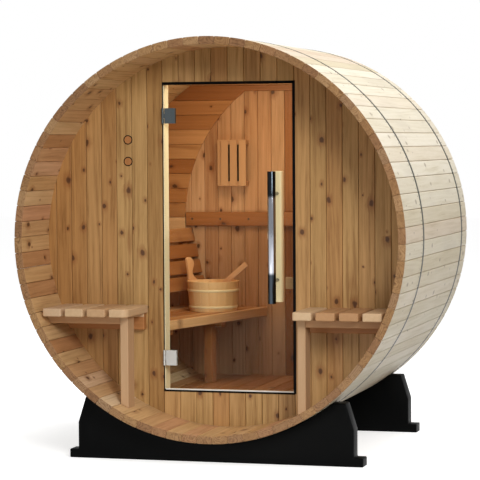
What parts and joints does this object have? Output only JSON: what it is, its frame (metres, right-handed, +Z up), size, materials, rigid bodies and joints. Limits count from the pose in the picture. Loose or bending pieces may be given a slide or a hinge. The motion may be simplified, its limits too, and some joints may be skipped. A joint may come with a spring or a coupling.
{
  "type": "barrel sauna with an open porch and a hinged glass door",
  "caption": "Stave-built barrel sauna on two cradles, with an open porch with benches, a glass door and a benched room behind it.",
  "frame": {"origin": "centre of the bounding box on the ground, under the middle of the barrel", "axes": "+X across the barrel to the right as seen from the front, +Y from the open porch to the back wall, +Z up"},
  "size_m": [1.831, 1.524, 1.9282],
  "materials": {
    "stave_wood": "planed",
    "wall_wood": "planed, knotty",
    "room_wood": "planed",
    "porch_wood": "planed",
    "band_steel": "satin",
    "cradle_moulding": "moulded, faint sheen",
    "dark_hinge": "satin",
    "light_hinge": "brushed",
    "glass": "clear",
    "pull_steel": "polished",
    "pull_wood": "smooth",
    "pail_wood": "smooth"
  },
  "bodies": {
    "sauna": {"back_wall": "room_wood", "back_wall_lining": "room_wood", "back_wall_rail": "room_wood", "backrest_left": "room_wood", "backrest_right": "room_wood", "band_back": "band_steel", "band_front": "band_steel", "cradle_back": "cradle_moulding", "cradle_front": "cradle_moulding", "door_frame_head": "room_wood", "door_frame_left": "room_wood", "door_frame_right": "room_wood", "door_frame_sill": "room_wood", "floor_deck": "room_wood", "front_wall_head": "wall_wood", "front_wall_left": "wall_wood", "front_wall_right": "wall_wood", "front_wall_sill": "wall_wood", "guard_rail": "room_wood", "hinge_lower_leaf": "light_hinge", "hinge_upper_leaf": "dark_hinge", "ladle": "pail_wood", "lamp_shade": "room_wood", "pail": "pail_wood", "porch_left_cleat": "porch_wood", "porch_left_post": "porch_wood", "porch_left_rail": "porch_wood", "porch_left_slat_1": "porch_wood", "porch_left_slat_2": "porch_wood", "porch_left_slat_3": "porch_wood", "porch_left_slat_4": "porch_wood", "porch_right_cleat": "porch_wood", "porch_right_post": "porch_wood", "porch_right_rail": "porch_wood", "porch_right_slat_1": "porch_wood", "porch_right_slat_2": "porch_wood", "porch_right_slat_3": "porch_wood", "porch_right_slat_4": "porch_wood", "room_bench_left": "room_wood", "room_bench_leg_left": "room_wood", "room_bench_leg_right": "room_wood", "room_bench_right": "room_wood", "shell_1": "stave_wood", "shell_2": "stave_wood", "shell_3": "stave_wood", "shell_4": "stave_wood", "shell_5": "stave_wood", "shell_6": "stave_wood", "vent_plug_lower": "wall_wood", "vent_plug_upper": "wall_wood"},
    "door": {"door_glass": "glass", "hinge_lower_clamp": "light_hinge", "hinge_upper_clamp": "dark_hinge", "pull_steel_bar": "pull_steel", "pull_wood_bar": "pull_wood"}
  },
  "joints": [
    {"name": "door_hinge", "type": "hinge", "parent": "sauna", "child": "door", "pos_m": [-0.306, -0.4165, 1.0127], "axis": [0, 0, -1], "range_deg": [0, 95]}
  ]
}
